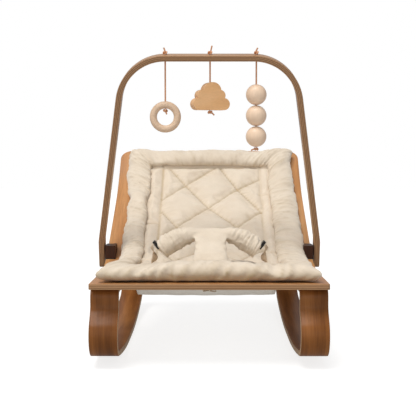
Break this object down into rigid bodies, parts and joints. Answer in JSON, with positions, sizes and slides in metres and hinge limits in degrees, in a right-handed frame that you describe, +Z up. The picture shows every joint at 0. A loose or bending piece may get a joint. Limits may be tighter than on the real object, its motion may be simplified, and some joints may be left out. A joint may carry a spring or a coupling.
{
  "type": "baby bouncer seat",
  "caption": "Bentwood baby rocker: moulded plywood seat ring on curved runners, quilted cushion, T-shaped harness and leaning toy arch.",
  "frame": {"origin": "centre of the bounding box, on the floor", "axes": "+X to the child's right as seen from the feet, +Y from the feet to the head, +Z up"},
  "size_m": [0.481, 0.7088, 0.6239],
  "materials": {
    "ring_wood": "clear lacquer, satin",
    "runner_wood": "stained walnut, satin lacquer",
    "steel": "zinc plated",
    "canvas": "plain weave cotton canvas",
    "tape": "woven cotton tape",
    "cotton": "quilted brushed cotton",
    "buckle_plastic": "moulded, fine texture",
    "dark_wood": "dark stained, satin",
    "pad_rubber": "matt",
    "arch_wood": "clear lacquer, satin",
    "nickel": "nickel plated",
    "cord_leather": "round leather lace",
    "pale_wood": "oiled beech",
    "cloud_wood": "oiled cherry",
    "bead_wood": "oiled beech"
  },
  "bodies": {
    "seat": {"seat_frame": "ring_wood", "runner_left": "runner_wood", "runner_right": "runner_wood", "front_bolts": "steel", "front_nuts": "steel", "rear_bolts": "steel", "rear_nuts": "steel", "canvas_sling": "canvas", "sling_tie": "tape", "cushion_border": "cotton", "cushion_quilt": "cotton", "crotch_strap": "cotton", "waist_arm_left": "cotton", "waist_arm_right": "cotton", "buckle_socket_left": "buckle_plastic", "buckle_socket_right": "buckle_plastic", "side_webbing_left": "tape", "side_webbing_right": "tape", "clamp_block_left": "dark_wood", "clamp_block_right": "dark_wood", "clamp_pad_left": "pad_rubber", "clamp_pad_right": "pad_rubber", "arch_pivots": "nickel", "arch_washers": "pad_rubber", "pivot_nuts": "nickel"},
    "arch": {"arch": "arch_wood", "cord_top_knots": "cord_leather"},
    "ring_string": {"ring_cord": "cord_leather", "ring_knots": "cord_leather"},
    "ring": {"ring_toy": "pale_wood"},
    "cloud_string": {"cloud_cord": "cord_leather", "cloud_knots": "cord_leather"},
    "cloud": {"cloud_toy": "cloud_wood"},
    "bead_string": {"bead_cord": "cord_leather", "bead_knots": "cord_leather"},
    "top_ball": {"bead_top": "bead_wood"},
    "middle_ball": {"bead_middle": "bead_wood"},
    "bottom_ball": {"bead_bottom": "bead_wood"},
    "left_tongue": {"buckle_tongue_left": "buckle_plastic"},
    "right_tongue": {"buckle_tongue_right": "buckle_plastic"},
    "left_screw": {"clamp_screw_left": "dark_wood"},
    "right_screw": {"clamp_screw_right": "dark_wood"}
  },
  "joints": [
    {"name": "arch_tilt", "type": "hinge", "parent": "seat", "child": "arch", "pos_m": [0, -0.02947, 0.192], "axis": [1, 0, 0], "range_deg": [-45, 40]},
    {"name": "ring_swing", "type": "hinge", "parent": "arch", "child": "ring_string", "pos_m": [-0.0915, -0.115, 0.59441], "axis": [1, 0, 0], "range_deg": [-35, 35]},
    {"name": "cloud_swing", "type": "hinge", "parent": "arch", "child": "cloud_string", "pos_m": [0.0015, -0.115, 0.59441], "axis": [1, 0, 0], "range_deg": [-35, 35]},
    {"name": "bead_swing", "type": "hinge", "parent": "arch", "child": "bead_string", "pos_m": [0.0975, -0.115, 0.59441], "axis": [1, 0, 0], "range_deg": [-35, 35]},
    {"name": "ring_turn", "type": "hinge", "parent": "ring_string", "child": "ring", "pos_m": [-0.0915, -0.115, 0.47791], "axis": [0, 0, 1], "continuous": true},
    {"name": "cloud_turn", "type": "hinge", "parent": "cloud_string", "child": "cloud", "pos_m": [0.0015, -0.115, 0.52041], "axis": [0, 0, 1], "continuous": true},
    {"name": "top_ball_turn", "type": "hinge", "parent": "bead_string", "child": "top_ball", "pos_m": [0.0975, -0.115, 0.52391], "axis": [0, 0, 1], "continuous": true},
    {"name": "middle_ball_turn", "type": "hinge", "parent": "bead_string", "child": "middle_ball", "pos_m": [0.0975, -0.115, 0.48051], "axis": [0, 0, 1], "continuous": true},
    {"name": "bottom_ball_turn", "type": "hinge", "parent": "bead_string", "child": "bottom_ball", "pos_m": [0.0975, -0.115, 0.43711], "axis": [0, 0, 1], "continuous": true},
    {"name": "left_buckle_release", "type": "slide", "parent": "seat", "child": "left_tongue", "axis": [-0.6561, 0, 0.7547], "range_m": [0, 0.014]},
    {"name": "left_screw_turn", "type": "hinge", "parent": "seat", "child": "left_screw", "pos_m": [-0.215, -0.02947, 0.18037], "axis": [0, -0.3879, 0.9217], "range_deg": [-180, 0]},
    {"name": "right_buckle_release", "type": "slide", "parent": "seat", "child": "right_tongue", "axis": [0.6561, 0, 0.7547], "range_m": [0, 0.014]},
    {"name": "right_screw_turn", "type": "hinge", "parent": "seat", "child": "right_screw", "pos_m": [0.215, -0.02947, 0.18037], "axis": [0, -0.3879, 0.9217], "range_deg": [-180, 0]}
  ]
}
